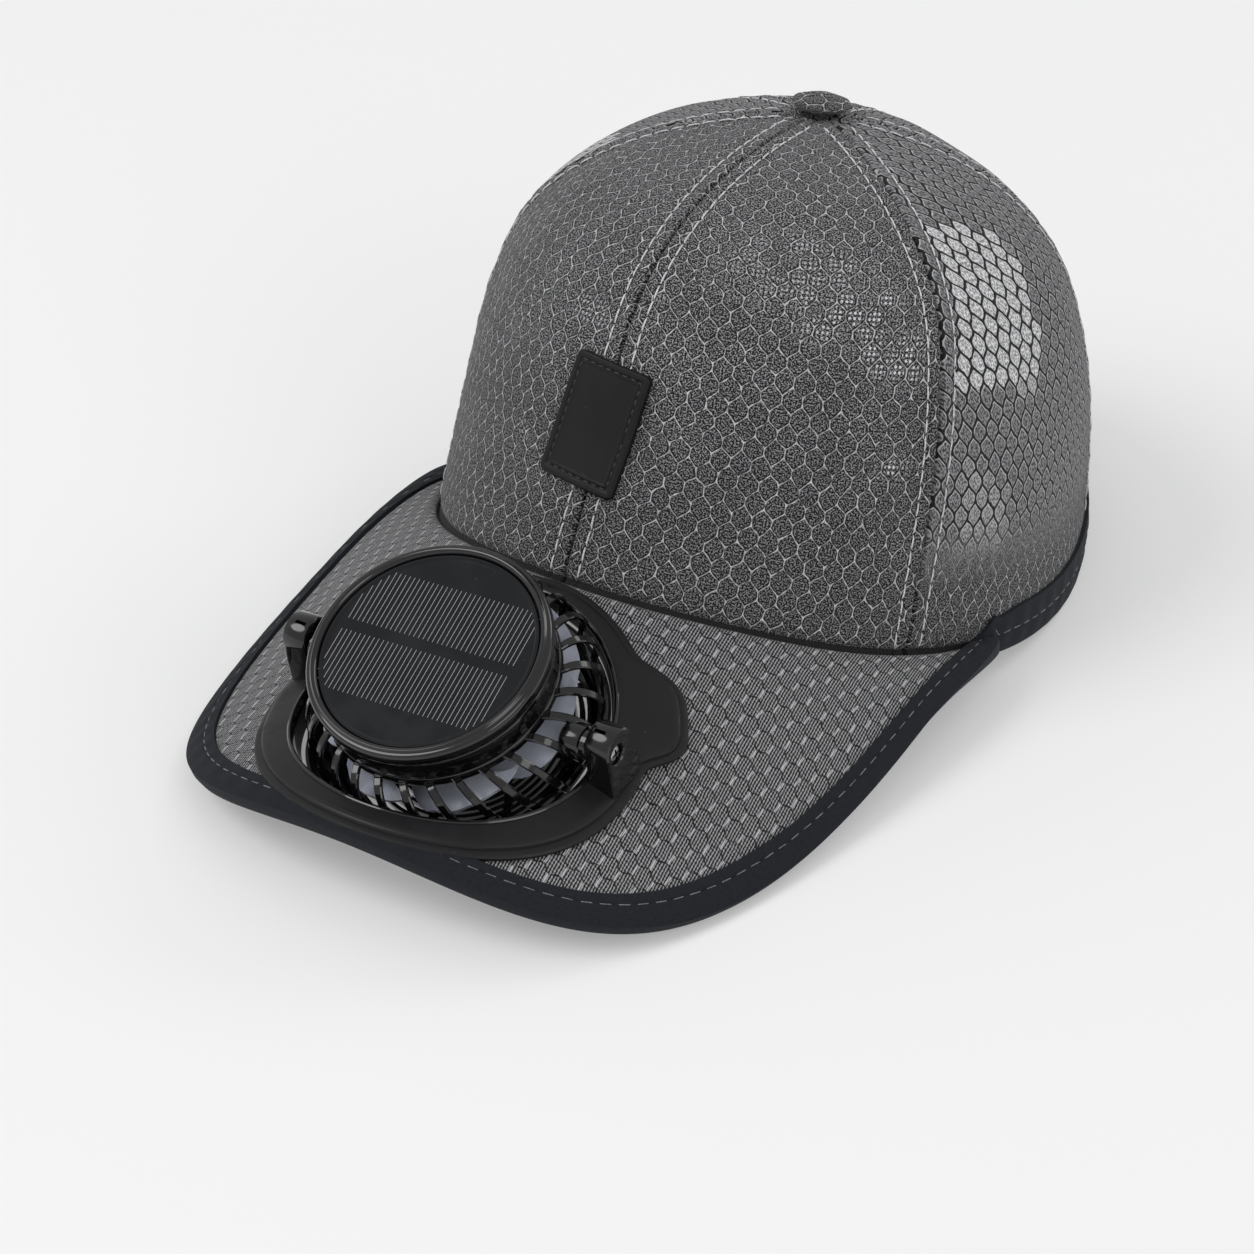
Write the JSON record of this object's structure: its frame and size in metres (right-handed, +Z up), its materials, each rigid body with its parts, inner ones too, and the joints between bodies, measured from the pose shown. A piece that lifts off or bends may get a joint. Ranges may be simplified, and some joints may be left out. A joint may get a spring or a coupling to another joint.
{
  "type": "solar fan hat",
  "caption": "Six-panel mesh baseball cap with a bound peak that carries a tilting solar-powered cooling fan in a round opening.",
  "frame": {"origin": "middle of the footprint, on the surface that the cap lies on", "axes": "+Z up from that surface, -Y the way the peak points, +X the wearer's left"},
  "size_m": [0.1746, 0.2924, 0.1247],
  "materials": {
    "mesh_cloth": "dark grey honeycomb mesh, sewn",
    "peak_cloth": "dark grey honeycomb mesh with light dashes, over a stiff board",
    "tape": "near-black woven tape with grey stitches",
    "rubber": "moulded matt rubber",
    "matt_plastic": "fine matt black",
    "gloss_plastic": "gloss black",
    "solar_cell": "dark cell under clear resin",
    "blade_plastic": "pale grey translucent",
    "screw_metal": "plated cross-head"
  },
  "bodies": {
    "cap": {"crown_panel_front_left": "mesh_cloth", "crown_panel_front_right": "mesh_cloth", "crown_panel_side_left": "mesh_cloth", "crown_panel_side_right": "mesh_cloth", "crown_panel_back_left": "mesh_cloth", "crown_panel_back_right": "mesh_cloth", "crown_button": "mesh_cloth", "peak": "peak_cloth", "peak_binding": "tape", "hem_binding": "tape", "label_patch": "rubber", "fan_plate": "matt_plastic", "pivot_lug_left": "matt_plastic", "pivot_lug_right": "matt_plastic", "pivot_screw_left": "screw_metal", "pivot_screw_right": "screw_metal"},
    "fan_head": {"fan_guard": "gloss_plastic", "pivot_boss_left": "gloss_plastic", "pivot_boss_right": "gloss_plastic", "solar_housing": "gloss_plastic", "solar_rim": "gloss_plastic", "solar_panel": "solar_cell"},
    "impeller": {"impeller": "blade_plastic"}
  },
  "joints": [
    {"name": "fan_tilt", "type": "hinge", "parent": "cap", "child": "fan_head", "pos_m": [0, -0.10103, 0.03519], "axis": [1, 0, 0], "range_deg": [-50, 18]},
    {"name": "impeller_spin", "type": "hinge", "parent": "fan_head", "child": "impeller", "pos_m": [0, -0.10103, 0.03519], "axis": [0, -0.4334, 0.9012], "continuous": true}
  ]
}
